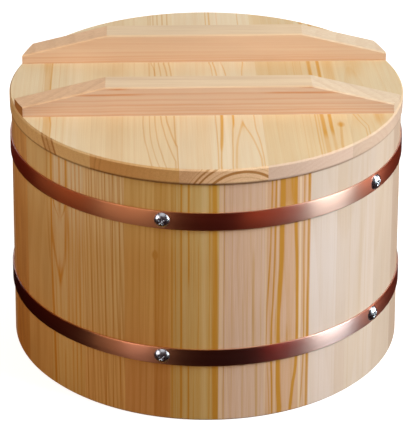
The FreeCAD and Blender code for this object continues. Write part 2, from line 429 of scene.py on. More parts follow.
@dataclass(frozen=True)
class Facet:
    """A tone of its own for the surfaces that face along an axis."""

    axis: tuple[float, float, float]
    colour: Colour
    strength: float = 0.8
    low: float = 0.5
    high: float = 0.8
    late: Colour = (0.42, 0.20, 0.05)


@dataclass(frozen=True)
class Wood:
    """The finish of one piece of planed, unvarnished softwood, with its lengths in millimetres."""

    pale: Colour
    late: Colour
    rings: Rings
    streaks: tuple[Streak, ...] = ()
    knots: tuple[Knot, ...] = ()
    facets: tuple[Facet, ...] = ()
    light: Colour = (0.86, 0.76, 0.60)
    # Tints of painted light and shade for an upright piece's head and foot.
    head: Colour = WHITE
    foot: Colour = WHITE
    joint: tuple[float, float] = LID_JOINT
    # How strong the painted shade beside the joint of lid and wall is.
    joint_shade: float = 0.0
    fibre: float = 0.10
    cloud: float = 0.08
    speckle: float = 0.22
    roughness: float = 0.60
    late_gloss: float = 0.12
    specular: float = 0.3
    relief: float = 0.15
    depth: float = 0.2
    seed: float = 0.0


class Figure:
    """The material of one wooden piece."""

    def __init__(self, name: str, wood: Wood, way: Way, azimuth: float = 0.0) -> None:
        """Starts the material and finds the grain's own space: (across, along, depth) in millimetres.

        Args:
            name: the material's name.
            wood: the finish.
            way: how the piece lies.
            azimuth: for a stave, the angle of its middle from the front, in radians.
        """
        self.wood = wood
        self.made, self.graph = new_material(name)
        turned = self.graph.node("Mapping")
        turned.inputs["Scale"].default_value = (1 / MM, 1 / MM, 1 / MM)
        self.graph.feed(turned.inputs["Vector"], self.graph.coordinate("Object"))
        self.place = turned.outputs[0]
        if way is Way.UPRIGHT:
            turned.inputs["Rotation"].default_value = (0.0, 0.0, -azimuth)
            wall = self.graph.group("wall_space", Vector=self.place, Radius=WALL_RADIUS)
            self.place = wall.outputs[0]
        elif way is Way.SIDE_TO_SIDE:
            x, y, z = self.graph.parts(self.place)
            self.place = self.graph.joined(z, x, y)

    def centre(self, streak: Streak) -> Feed:
        """The line down the middle of a streak: a smooth curve through its points.

        Args:
            streak: the streak.

        Returns:
            How far across the line is, at each place along the piece.
        """
        along, across = zip(*streak.path)
        if max(across) - min(across) < 0.05:
            return sum(across) / len(across)
        low, high = min(across) - 1.0, max(across) + 1.0
        curve = self.graph.node("FloatCurve")
        drawn = curve.mapping.curves[0]
        spots = sorted(((one - min(along)) / (max(along) - min(along)), (two - low) / (high - low))
                       for one, two in streak.path)
        while len(drawn.points) < len(spots):
            drawn.points.new(0.5, 0.5)
        for point, spot in zip(drawn.points, spots):
            point.location = spot
        curve.mapping.update()
        share = self.graph.span(self.graph.parts(self.place)[1], min(along), max(along), smooth=False)
        self.graph.feed(curve.inputs["Value"], share)
        return self.graph.math("MULTIPLY_ADD", curve.outputs[0], high - low, low)

    def streaks(self, dark: bool) -> Feed:
        """Sum of the streaks' masks.

        Args:
            dark: whether to take those that darken or those that lighten.

        Returns:
            The sum.
        """
        return self.graph.total(
            self.graph.group("streak", Place=self.place, Centre=self.centre(item), Width=item.width,
                             Sharp=item.sharp, Waver=item.waver, From=item.start, To=item.end,
                             Strength=abs(item.strength), Seed=self.wood.seed + 0.37 * order).outputs[0]
            for order, item in enumerate(self.wood.streaks) if (item.strength > 0) == dark)

    def shaded(self, colour: Socket) -> Socket:
        """Darkens the colour softly in clouds, paints light and shade onto an upright piece's foot and head,
        and paints shade beside the joint of lid and wall.

        Args:
            colour: the colour so far.

        Returns:
            The shaded colour.
        """
        graph, wood = self.graph, self.wood
        fibre = graph.group("fibre", Place=self.place, Seed=wood.seed)
        shade = graph.span(fibre.outputs["Cloud"], 0.0, 1.0, 1.0 - wood.cloud, 1.0, smooth=False)
        colour = graph.blend(1.0, colour, graph.joined(shade, shade, shade), mode="MULTIPLY")
        # Painted light and shade: a stave lighter or darker towards its head and foot, as the light falls
        # there.
        if wood.head != WHITE or wood.foot != WHITE:
            height_lit = graph.group("painted_height_light", Place=self.place, Foot=wood.foot, Head=wood.head)
            colour = graph.blend(1.0, colour, height_lit.outputs[0], mode="MULTIPLY")
        # Painted shade: a dark band on each side of the joint of lid and wall.
        if wood.joint_shade > 0:
            joint_shade = graph.group("painted_joint_shade", Vector=graph.coordinate("Object"), Low=wood.joint[0],
                                High=wood.joint[1], Strength=wood.joint_shade)
            colour = graph.blend(joint_shade.outputs[0], colour, JOINT_SHADE_COLOUR)
        return colour

    def build(self) -> Material:
        """Lays rings, streaks, knots and fibres over a pale ground.

        Returns:
            The material.
        """
        graph, wood, place = self.graph, self.wood, self.place
        rings = graph.group("growth_rings", Place=place, Pith=wood.rings.pith, Taper=wood.rings.taper,
                            Spacing=wood.rings.width, Waver=wood.rings.waver, Seed=wood.seed)
        fibre = graph.group("fibre", Place=place, Seed=wood.seed)
        ends = graph.total(
            graph.group("bold_ring", Reach=rings.outputs["Reach"], Ring=item.ring, Width=item.width,
                        Strength=item.strength).outputs[0] for item in wood.rings.bands)
        knots = graph.total(
            graph.group("knot", Place=place, Across=item.across, Along=item.along, Size=item.size,
                        Strength=item.strength).outputs[0] for item in wood.knots)
        grain = graph.times(rings.outputs["Late"], wood.rings.contrast)
        fibres = [graph.times(fibre.outputs[size], wood.fibre) for size in ("Fine", "Broad")]
        marks = graph.math("ADD", self.streaks(dark=True), knots)
        late = graph.math("ADD", graph.total([grain, *fibres]), marks, clamp=True)
        colour = graph.blend(late, wood.pale, wood.late)
        colour = graph.blend(graph.math("MINIMUM", self.streaks(dark=False), 1.0), colour, wood.light)
        for item in wood.facets:
            mask = graph.group("facing", Normal=graph.coordinate("Normal"), Axis=item.axis,
                               Strength=item.strength, Low=item.low, High=item.high)
            specks = graph.times(fibre.outputs["Fine"], wood.speckle)
            figure = graph.math("ADD", graph.total([grain, ends]), specks, clamp=True)
            colour = graph.blend(mask.outputs[0], colour, graph.blend(figure, item.colour, item.late))
        bump = graph.fill(graph.node("Bump"), {"Strength": wood.relief, "Distance": wood.depth * MM,
                                               "Height": graph.total([fibre.outputs["Fine"], late])})
        rough = graph.span(late, 0.0, 1.0, wood.roughness, wood.roughness - wood.late_gloss, smooth=False)
        graph.surface(Base_Color=self.shaded(colour), Roughness=rough, Specular_IOR_Level=wood.specular,
                      Normal=bump.outputs[0])
        return self.made


# ---------------------------------------------------------------- metal


@dataclass(frozen=True)
class SatinCopper:
    """Copper strip, brushed along its length. The turn is that of its sheen, in whole turns."""

    bright: Colour = (0.94, 0.63, 0.53)
    deep: Colour = (0.88, 0.54, 0.43)
    roughness: float = 0.37
    anisotropic: float = 0.88
    turn: float = 0.25

    def material(self, name: str) -> Material:
        """Builds the material. The strip's own UV map runs along it in metres.

        Args:
            name: the material's name.

        Returns:
            The material.
        """
        made, graph = new_material(name)
        uv = graph.node("UVMap", uv_map="strip").outputs[0]
        cloud = graph.noise(graph.stretched(uv, (9.0, 40.0, 1.0)), 1.0, 3.0, 2.0)
        brushed = graph.noise(graph.stretched(uv, (14.0, 4200.0, 1.0)), 1.0, 2.0, 5.0)
        rough = graph.span(brushed, 0.3, 0.7, self.roughness - 0.04, self.roughness + 0.06)
        colour = graph.blend(graph.span(cloud, 0.3, 0.7), self.bright, self.deep)
        tangent = graph.node("Tangent", direction_type="UV_MAP", uv_map="strip").outputs[0]
        graph.surface(Base_Color=colour, Roughness=rough, Metallic=1.0, Anisotropic=self.anisotropic,
                      Anisotropic_Rotation=self.turn, Tangent=tangent)
        return made


@dataclass(frozen=True)
class BrightSteel:
    """Polished plated steel of the screws, a little duller in spots."""

    bright: Colour = (0.80, 0.81, 0.86)
    dull: Colour = (0.66, 0.67, 0.72)
    roughness: float = 0.24

    def material(self, name: str) -> Material:
        """Builds the material.

        Args:
            name: the material's name.

        Returns:
            The material.
        """
        made, graph = new_material(name)
        spots = graph.noise(graph.coordinate("Object"), 900.0, 3.0, 1.0)
        colour = graph.blend(graph.span(spots, 0.4, 0.8), self.bright, self.dull)
        rough = graph.span(spots, 0.3, 0.8, self.roughness, self.roughness + 0.1)
        graph.surface(Base_Color=colour, Roughness=rough, Metallic=1.0)
        return made


# ---------------------------------------------------------------- meshes


def grid_mesh(name: str, points: np.ndarray, close_columns: bool = False,
              uv: Union[np.ndarray, None] = None) -> Mesh:
    """A mesh of quads over a grid of points.

    Args:
        name: the mesh's name.
        points: rows x columns x 3, in metres; a quad's corners run row, next column, next row.
        close_columns: whether the last column joins the first.
        uv: rows x columns x 2 map coordinates, if the piece has a map.

    Returns:
        The mesh.
    """
    rows, columns = points.shape[:2]
    index = np.arange(rows * columns).reshape(rows, columns)
    if close_columns:
        index = np.hstack([index, index[:, :1]])
    quads = np.stack([index[:-1, :-1], index[:-1, 1:], index[1:, 1:], index[1:, :-1]], axis=-1).reshape(-1, 4)
    mesh = bpy.data.meshes.new(name)
    mesh.from_pydata(points.reshape(-1, 3).tolist(), [], quads.tolist())
    if uv is not None:
        layer = mesh.uv_layers.new(name="strip")
        layer.data.foreach_set("uv", uv.reshape(-1, 2)[quads.ravel()].ravel())
    mesh.polygons.foreach_set("use_smooth", np.ones(len(quads), bool))
    mesh.update()
    return mesh


def link(name: str, data: bpy.types.ID) -> bpy.types.Object:
    """Makes an object and links it into the scene.

    Args:
        name: the object's name.
        data: its mesh, light or camera.

    Returns:
        The object.
    """
    made = bpy.data.objects.new(name, data)
    bpy.context.scene.collection.objects.link(made)
    return made


def dress(node: str, material: Material) -> None:
    """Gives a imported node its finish.

    Args:
        node: the node's name.
        material: its finish.
    """
    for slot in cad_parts[node].material_slots:
        slot.material = material
    LOG.info("dressed %s", node)


# ---------------------------------------------------------------- the tub


def wall_radius(height: Union[float, np.ndarray]) -> Union[float, np.ndarray]:
    """Radius of the wall's outside at a height, in millimetres."""
    return WALL_RADIUS + math.tan(WALL_DRAFT) * (RIM_HEIGHT - height)


def line(across: float, width: float, strength: float, start: float = -ENDLESS, end: float = ENDLESS,
         sharp: float = 0.3) -> Streak:
    """A straight streak down a piece."""
    return Streak(((0.0, across),), width, strength, sharp, 0.5, start, end)


def bent(width: float, strength: float, *path: tuple[float, float], sharp: float = 0.3, waver: float = 0.5,
         start: float = -ENDLESS, end: float = ENDLESS) -> Streak:
    """A streak through (along, across) points."""
    return Streak(path, width, strength, sharp, waver, start, end)


# The staves at the front by their number, each with the figure of its own board. Their ground tones are
# partly the boards' own and partly painted light and shade: warmer to the left, paler and pinker to the right
# and darker at the right edge, as the light falls.
STAVES: dict[int, Wood] = {
    22: Wood((0.76, 0.5, 0.19), (0.46, 0.19, 0.05), Rings((14, 20, -30), 5, 0.05, 9, 0.45),
        head=(1.2, 1.4, 1.7), foot=(0.93, 0.82, 0.6), fibre=0.2, cloud=0.2),
    23: Wood((0.74, 0.59, 0.29), (0.58, 0.36, 0.11), Rings((-30, 0, -70), 4.6, 0.02, 9, 0.35),
        (bent(1.3, 0.4, (150, 11.5), (120, 12), (95, 14), (85, 15), start=88), line(-2, 3, 0.18, -9, 60),
        line(6, 2, 0.15, 20, 90)), head=(1.15, 1.33, 1.65), foot=(0.91, 0.8, 0.65), fibre=0.2, cloud=0.1),
    24: Wood((0.75, 0.65, 0.38), (0.62, 0.34, 0.06), Rings((60, 0, -60), 2.4, 0.004, 2, 0.3),
        (bent(1, 0.55, (140, -13.2), (132, -10.2), (127, -6.9), start=127),
        bent(1, 0.5, (140, 0), (133, -1.8), (127, -4.6), start=127), line(-5.8, 1.6, 0.5, 130),
        line(-5.8, 5.5, -0.3, 92, 124, 0.2),
        bent(1.7, 0.55, (119, -14.6), (108, -13), (97, -10.5), (88, -8), (82, -6.2), start=83),
        bent(1.7, 0.5, (138, 0.5), (115, -0.4), (100, -1.5), (90, -3.4), (82, -5.6), start=83),
        line(-5.9, 3.2, 0.5, 79, 96), line(-5.5, 1, 0.25, 55, 82),
        bent(1.8, 0.75, (95, -15), (70, -13.8), (50, -12.8), (20, -12), (0, -11.5)),
        bent(0.8, 0.35, (95, -11.8), (70, -10.4), (0, -8.5)), line(1.9, 1, 0.5, 45, 130), line(5.4, 0.6, 0.4),
        line(8.6, 0.6, 0.5), line(11.9, 1, 0.45), line(14.4, 0.5, 0.4), line(-2, 0.8, 0.5, -9, 30)),
        light=(0.8, 0.72, 0.5), head=(1.2, 1.46, 2.2), foot=(0.94, 0.87, 0.68), fibre=0.16, cloud=0.06),
    25: Wood((0.77, 0.65, 0.35), (0.56, 0.33, 0.09), Rings((46, 0, -52), 1.75, 0.002, 1.4, 0.6),
        (line(11.9, 0.6, 0.5), line(6.9, 0.6, 0.6), line(1.5, 0.6, 0.6), line(-4.5, 0.5, 0.3),
        line(-8.6, 0.7, 0.35), line(-12.3, 0.6, 0.4)), head=(1.16, 1.33, 1.8), foot=(0.97, 0.83, 0.66),
        fibre=0.18, cloud=0.05),
    26: Wood((0.7, 0.48, 0.18), (0.54, 0.29, 0.06), Rings((-40, 0, -44), 2.2, 0.004, 1.6, 0.3),
        (line(9.1, 4.9, 0.5, sharp=0.88), line(5.7, 0.7, 0.6, 55, 116), line(-0.8, 0.6, 0.3),
        line(-4.9, 0.6, 0.3), line(-9.5, 1.5, 0.2), line(14.3, 0.8, 0.25)), (Knot(5.1, 119, 2.6, 0.8),),
        head=(1.1, 1.32, 1.65), foot=(0.92, 0.78, 0.76), fibre=0.14, cloud=0.05),
    27: Wood((0.61, 0.47, 0.2), (0.55, 0.29, 0.04), Rings((60, 0, -40), 2.6, 0.004, 2, 0.25),
        (line(-14.2, 1.3, 0.45), line(-12, 0.5, 0.4), line(-8.4, 0.9, 0.8), line(-3.7, 0.8, 0.6, 100),
        line(-3.7, 0.8, 0.65, -9, 45), line(-3.7, 0.6, 0.25), line(-0.5, 0.5, 0.3),
        line(2.3, 0.5, 0.5, 50, 130), line(9.3, 0.6, 0.45), line(6, 2.6, -0.35, sharp=0.1),
        line(-6, 1.6, -0.2), bent(1.3, 0.4, (170, 10.8), (0, 11.9), sharp=0.1),
        bent(2.1, 0.85, (170, 12.4), (85, 13.1), (0, 13.7), sharp=0.15)), light=(0.74, 0.63, 0.38),
        head=(1.08, 1.17, 1.3), foot=(0.94, 0.92, 0.85), fibre=0.2, cloud=0.05),
    1: Wood((0.69, 0.54, 0.45), (0.58, 0.38, 0.18), Rings((50, 0, -60), 2.7, 0.004, 2, 0.26),
        (line(-13.7, 1.5, -0.5), line(-11.9, 0.6, 0.75), line(-9.9, 0.7, -0.3), line(-6.9, 0.5, 0.3),
        line(0.2, 0.9, 0.35, -9, 90), line(2.9, 0.6, 0.2), line(6.7, 1.2, 0.45, 50, 120),
        line(9.2, 1, 0.5, -9, 50), line(11.7, 0.6, 0.25), line(14.6, 0.8, -0.4)), light=(0.76, 0.62, 0.4),
        fibre=0.2, cloud=0.05),
    2: Wood((0.68, 0.5, 0.385), (0.56, 0.29, 0.04), Rings((20, 0, -50), 2.8, 0.004, 2, 0.22),
        (bent(0.9, 0.65, (165, -12), (135, -12.4), (110, -13.1), (85, -14.4), (60, -15.1), start=50),
        bent(0.7, 0.45, (45, -14.3), (20, -13), (0, -12.2), end=46), bent(0.9, 0.75, (170, -9.3), (135, -9.5),
        (110, -9.9), (85, -10.6), (60, -11.5), (20, -10.8), (0, -10.5)), bent(2.4, 0.95, (170, -5),
        (135, -5.2), (110, -5.4), (85, -6.5), (65, -7.4), (50, -7), (30, -6.7), (5, -5.6)),
        line(-0.8, 5.6, 0.55, 148, sharp=0.7), bent(1.1, 0.5, (66, -0.9), (50, -0.6), start=50, end=64),
        bent(1.5, 0.95, (170, 4.3), (138, 4.5), (115, 5.3), (90, 6), (60, 6.3), (38, 5.8), (20, 3.7),
        (3, 2.1)), bent(1.2, -0.7, (170, 7.5), (0, 8.5)), bent(0.8, -0.3, (110, -7.8), (20, -8.9)),
        bent(0.8, 0.6, (170, 10.3), (110, 10.5), (85, 11), (50, 11.2), (20, 10.3), (3, 8.9)),
        line(12.2, 0.7, -0.35), line(13.8, 1.2, 0.65)), light=(0.8, 0.68, 0.5), head=(0.98, 0.96, 0.93),
        foot=(0.97, 0.96, 0.93), fibre=0.16, cloud=0.05),
    3: Wood((0.75, 0.69, 0.65), (0.62, 0.5, 0.36), Rings((10, 0, -80), 3.1, 0.004, 3, 0.16),
        (line(10.6, 4.8, 0.3, sharp=0.92), line(4, 0.5, 0.15), line(-7, 0.6, 0.12)), head=(0.93, 0.9, 0.84),
        foot=(1, 0.97, 0.94), fibre=0.09, cloud=0.04, joint_shade=0.5),
    4: Wood((0.7, 0.62, 0.55), (0.6, 0.47, 0.3), Rings((-20, 0, -70), 3.4, 0.004, 3, 0.2),
        (line(-12, 0.9, 0.2), line(-1, 2.2, 0.22), line(4.5, 0.8, 0.25), line(8, 0.6, 0.15)),
        head=(0.93, 0.92, 0.9), foot=(1.02, 1.02, 1), cloud=0.05, joint_shade=0.4),
    5: Wood((0.66, 0.57, 0.47), (0.56, 0.43, 0.28), Rings((-14, 0, -36), 3.6, 0.02, 4, 0.25),
        (line(-3, 1, 0.2), line(6, 0.8, 0.15)), fibre=0.08, cloud=0.07, joint_shade=0.35),
    6: Wood((0.58, 0.47, 0.37), (0.54, 0.38, 0.22), Rings((8, 10, -20), 3, 0.04, 4, 0.3), fibre=0.08,
        joint_shade=0.35),
}

REAR_END = Facet((0, 1, 0), (0.66, 0.44, 0.2))

# The lid's boards from left to right, with rings that run on from their tops into their ends.
BOARDS: tuple[Wood, ...] = (
    Wood((0.79, 0.69, 0.47), (0.66, 0.38, 0.1), Rings((-20, 0, 195), 3.2, 0.002, 3, 0.1,
        (Band(88.3, 0.9, 0.55), Band(85.4, 0.6, 0.35), Band(82.2, 0.9, 0.6), Band(85.3, 4.5, 0.25))),
        (bent(2.7, 0.42, (35, -106.5), (-30, -105.3), (-60, -104.6), sharp=0.6),
        bent(0.8, 0.7, (35, -103.6), (-30, -103.3), (-60, -101.8)), line(-108.9, 0.5, 0.3),
        line(-98, 0.5, 0.25), line(-93.5, 1, 0.12), line(-91, 1.2, -0.3), line(-86, 3, -0.2)),
        facets=(Facet((-0.8, -0.6, 0), (0.86, 0.74, 0.42), 0.95),), joint_shade=0.6),
    Wood((0.79, 0.67, 0.44), (0.64, 0.38, 0.13), Rings((30, 0, 160), 3.4, 0.002, 3, 0.1, (Band(104, 0.6, 0.3),
        Band(101, 0.6, 0.25))), (line(-60, 10, 0.16, sharp=0.2), line(-56, 0.6, 0.14), line(-48, 0.6, 0.14),
        bent(0.7, 0.45, (35, -36.5), (5, -34), (-50, -42.5), (-80, -42), (-100, -40.2), (-125, -37.5)),
        bent(0.6, 0.4, (-30, -38), (-50, -38.5), (-80, -38), (-100, -36.5), (-125, -33)),
        bent(0.7, 0.5, (-30, -34.5), (-50, -35), (-80, -34), (-110, -31), (-128, -28.5)),
        bent(0.7, 0.55, (35, -31.5), (5, -30), (-50, -31.2), (-75, -29.2), (-100, -26), (-118, -22.8)),
        bent(0.8, 0.6, (35, -28), (5, -26), (-50, -27.8), (-70, -25.8), (-88, -23.3), (-97, -21.3)),
        bent(0.8, 0.6, (35, -24.6), (5, -23), (-50, -22.6), (-98, -22.2), start=-98)),
        facets=(Facet((-0.3, -0.95, 0), (0.74, 0.5, 0.21), 0.95), REAR_END), joint_shade=0.8),
    Wood((0.78, 0.69, 0.5), (0.68, 0.39, 0.09), Rings((18.3, 0, 151), 2.6, -0.014, 0.8, 0.08,
        (Band(25.2, 1.3, 1), Band(28.2, 0.5, 0.25), Band(31.6, 0.9, 0.95), Band(34.3, 0.9, 0.85),
        Band(36.8, 0.4, 0.4), Band(41, 6.5, 0.22), Band(21.5, 0.7, 0.25))),
        (bent(0.7, 0.5, (35, 3), (5, 4.5), (-50, 4), (-80, 4.2), (-125, 3.5)),
        bent(0.8, 0.6, (35, 5.5), (5, 7.5), (-50, 8.2), (-75, 7.5), (-95, 6.5), (-125, 5.2)),
        bent(1.6, 0.75, (-45, 8.2), (-75, 7.5), (-100, 6.3), start=-100, end=-40),
        bent(0.7, 0.5, (35, 11), (5, 14), (-50, 15.6), (-75, 14.4), (-125, 12.3)),
        line(15.2, 1.1, 0.5, -66, -36),
        bent(0.7, 0.5, (35, 25.8), (5, 24.3), (-50, 28.8), (-70, 29.2), (-90, 31), (-115, 32)),
        bent(1.1, 0.4, (-62, 21), (-75, 19), (-90, 16.8), (-125, 14.5), end=-62),
        bent(0.9, 0.5, (-62, 21.4), (-72, 23.5), (-85, 26.5), (-115, 30.5), end=-62),
        line(21.2, 1.6, 0.4, -70, -62), line(-10, 10, 0.1, sharp=0.9), line(10.5, 1.6, -0.3)),
        facets=(Facet((0, -1, 0), (0.87, 0.65, 0.42), 0.95), REAR_END), joint_shade=0.8),
    Wood((0.76, 0.64, 0.41), (0.66, 0.36, 0.07), Rings((110, 0, 60), 2.7, 0.002, 2, 0.12),
        (line(68.4, 0.7, 0.5, -118, -30), line(70.2, 0.5, 0.3, -118, -30),
        bent(1.7, 0.7, (35, 70.7), (5, 70.9), (-50, 72.6), (-120, 73.2), sharp=0.4, start=-82),
        bent(1.6, 0.8, (35, 76.8), (5, 76.9), (-50, 77.6), (-100, 77.8), sharp=0.4, start=-78),
        bent(2.2, 0.35, (-75, 73), (-120, 73.4), end=-76), line(78, 1.6, 0.35, -118, -74),
        line(83.5, 5, 0.3, -28), bent(1.3, 0.4, (-66, 84), (-95, 82.3), end=-64), line(60, 0.5, 0.15),
        line(55, 0.5, 0.12), line(65, 0.5, 0.15), line(50, 17, 0.14, -10, sharp=0.8)),
        (Knot(84, -66, 3.2, 0.6),), (Facet((0.4, -0.92, 0), (0.7, 0.56, 0.47), 0.95, late=(0.52, 0.32, 0.22)),
        REAR_END), joint_shade=0.45),
    Wood((0.74, 0.63, 0.41), (0.66, 0.38, 0.1), Rings((98, 60, 168), 3.4, -0.06, 2, 0.16),
        (bent(0.6, 0.45, (-40, 91), (-50, 93.2), (-72, 99.5), end=-40),
        bent(0.6, 0.45, (-40, 93.8), (-50, 96), (-68, 101.5), end=-40), line(110, 5, 0.4, -64, -20),
        line(100, 7, 0.28, 12)), facets=(Facet((0.8, -0.6, 0), (0.66, 0.53, 0.42), 0.95,
        late=(0.52, 0.32, 0.22)),), joint_shade=0.3),
)


def dress_wood(node: str, wood: Wood, way: Way, azimuth: float = 0.0) -> None:
    """Gives a wooden node a figure of its own."""
    dress(node, Figure(node + "_wood", wood, way, azimuth).build())


@dataclass
class StaveWall:
    """The round wall: twenty-seven staves between seams, each from a board of its own."""

    count: int = 27
    first_seam: float = 1.67
    end_grain: Colour = (0.60, 0.40, 0.20)
    # Strength of the painted shade at the top of a stave, under the lid's edge.
    joint_shade: float = 0.6

    @staticmethod
    def plain(number: int) -> Wood:
        """The finish of a stave round the back, drawn from a fixed series.

        About half the boards are sawn flat, with pointed arches, and the rest upright, with straight lines.

        Args:
            number: the stave's number, from 1.

        Returns:
            Its finish.
        """
        draw = np.random.default_rng(100 + number)
        warmth = draw.uniform(0.0, 1.0)
        pale = tuple(np.array((0.75, 0.54, 0.28)) * warmth + np.array((0.74, 0.62, 0.46)) * (1 - warmth))
        if draw.uniform() < 0.5:
            rings = Rings((draw.uniform(-8, 8), draw.uniform(0, 60), -draw.uniform(9, 20)),
                          draw.uniform(2.0, 3.2), draw.choice((-1, 1)) * draw.uniform(0.03, 0.06), 2.5, 0.55)
        else:
            rings = Rings((draw.choice((-1, 1)) * draw.uniform(25, 60), 0.0, -draw.uniform(25, 60)),
                          draw.uniform(1.9, 3.0), 0.004, 3.0, 0.40)
        streaks = tuple(
            Streak(((0.0, spot), (170.0, spot + draw.uniform(-2, 2))), draw.uniform(0.5, 1.4),
                   draw.uniform(0.3, 0.8)) for spot in draw.uniform(-13, 13, draw.integers(0, 4)))
        return Wood(pale, (0.58, 0.33, 0.10), rings, streaks)

    def build(self) -> None:
        """Dresses every stave."""
        ends = (Facet((0, 0, 1), self.end_grain), Facet((0, 0, -1), self.end_grain))
        for number in range(1, self.count + 1):
            middle = math.radians(self.first_seam + (number - 0.5) * 360.0 / self.count)
            wood = STAVES.get(number) or self.plain(number)
            finish = replace(wood, facets=ends, joint=RIM_JOINT, joint_shade=wood.joint_shade or self.joint_shade,
                             seed=float(number))
            dress_wood("stave_%02d" % number, finish, Way.UPRIGHT, middle)


@dataclass
class Lid:
    """The lid: five boards with their grain front to back, under two battens."""

    front_side: Colour = (0.75, 0.61, 0.49)
    back_side: Colour = (0.78, 0.62, 0.46)

    @staticmethod
    def batten(side: Colour, lines: Sequence[tuple[float, float]], seed: float,
               resin: tuple[Streak, ...] = ()) -> Wood:
        """A batten's finish: reddish on its sides, with level late lines, and painted light and shade on its
        top and slopes.

        Args:
            side: the ground of its upright sides.
            lines: height and strength of each late line.
            seed: its own series.
            resin: further streaks.

        Returns:
            The finish.
        """
        streaks = tuple(
            bent(0.9, strength, (-120, height - 0.6), (0, height + 0.4), (120, height + 0.2), sharp=0.2,
                 waver=1.6) for height, strength in lines)
        # Painted light and shade: the top and the two slopes each get a tint of their own by the way they
        # face the lamps. The last tint darkens the left end.
        facets = (Facet((0, 0, 1), (0.82, 0.685, 0.475), 0.95),
                  Facet((-1, 0, 0), (0.92, 0.69, 0.46), 0.95, 0.1, 0.2),
                  Facet((1, 0, 0), (0.75, 0.64, 0.48), 0.95, 0.1, 0.2),
                  Facet((-1, 0, 0), (0.50, 0.26, 0.08), 0.9, 0.5, 0.8))
        return Wood(side, (0.66, 0.36, 0.20), Rings((-60, 0, 40), 3.4, 0, 3, 0.14), streaks + resin,
                    facets=facets, fibre=0.14, seed=seed)

    def build(self) -> None:
        """Dresses the boards and the battens."""
        for number, board in enumerate(BOARDS, 1):
            finish = replace(board, seed=30.0 + number)
            dress_wood("lid_board_%d" % number, finish, Way.FRONT_TO_BACK)
        resin = (bent(1.5, 1, (0, 199.4), sharp=0.5, waver=0, start=-63, end=-54),
                 bent(1.2, 0.7, (0, 199.4), sharp=0.4, waver=0, start=60, end=70),
                 bent(0.9, 0.5, (0, 194.8), waver=1, start=-82, end=-46),
                 bent(1, 0.5, (0, 195.4), waver=1, start=38, end=80))
        lines = ((195.1, 0.22), (190.8, 0.3), (187.3, 0.34), (185.2, 0.2), (183.4, 0.34), (180.9, 0.4))
        front = self.batten(self.front_side, lines, 41.0, resin)
        lines = ((187.5, 0.12), (184.6, 0.2), (182.6, 0.2), (180.9, 0.4))
        back = self.batten(self.back_side, lines, 42.0)
        dress_wood("front_batten", front, Way.SIDE_TO_SIDE)
        dress_wood("back_batten", back, Way.SIDE_TO_SIDE)


@dataclass
class Inside:
    """The floor and the bamboo pins, which the lid and the wall hide."""

    floor_boards: int = 4

    def build(self) -> None:
        """Dresses the floor boards and all pins."""
        floor = Wood((0.86, 0.70, 0.46), (0.66, 0.40, 0.17), Rings((10, 0, -50), 5, 0, 8, 0.35))
        for number in range(1, self.floor_boards + 1):
            dress_wood("floor_board_%d" % number, floor, Way.FRONT_TO_BACK)
        bamboo = Wood((0.80, 0.68, 0.40), (0.55, 0.40, 0.18), Rings((0, 0, -300), 1.2, 0, 1, 0.3))
        material = Figure("bamboo", bamboo, Way.SIDE_TO_SIDE).build()
        for name in ("stave_pins", "floor_pins", "lid_pins", "batten_pins"):
            dress(name, material)


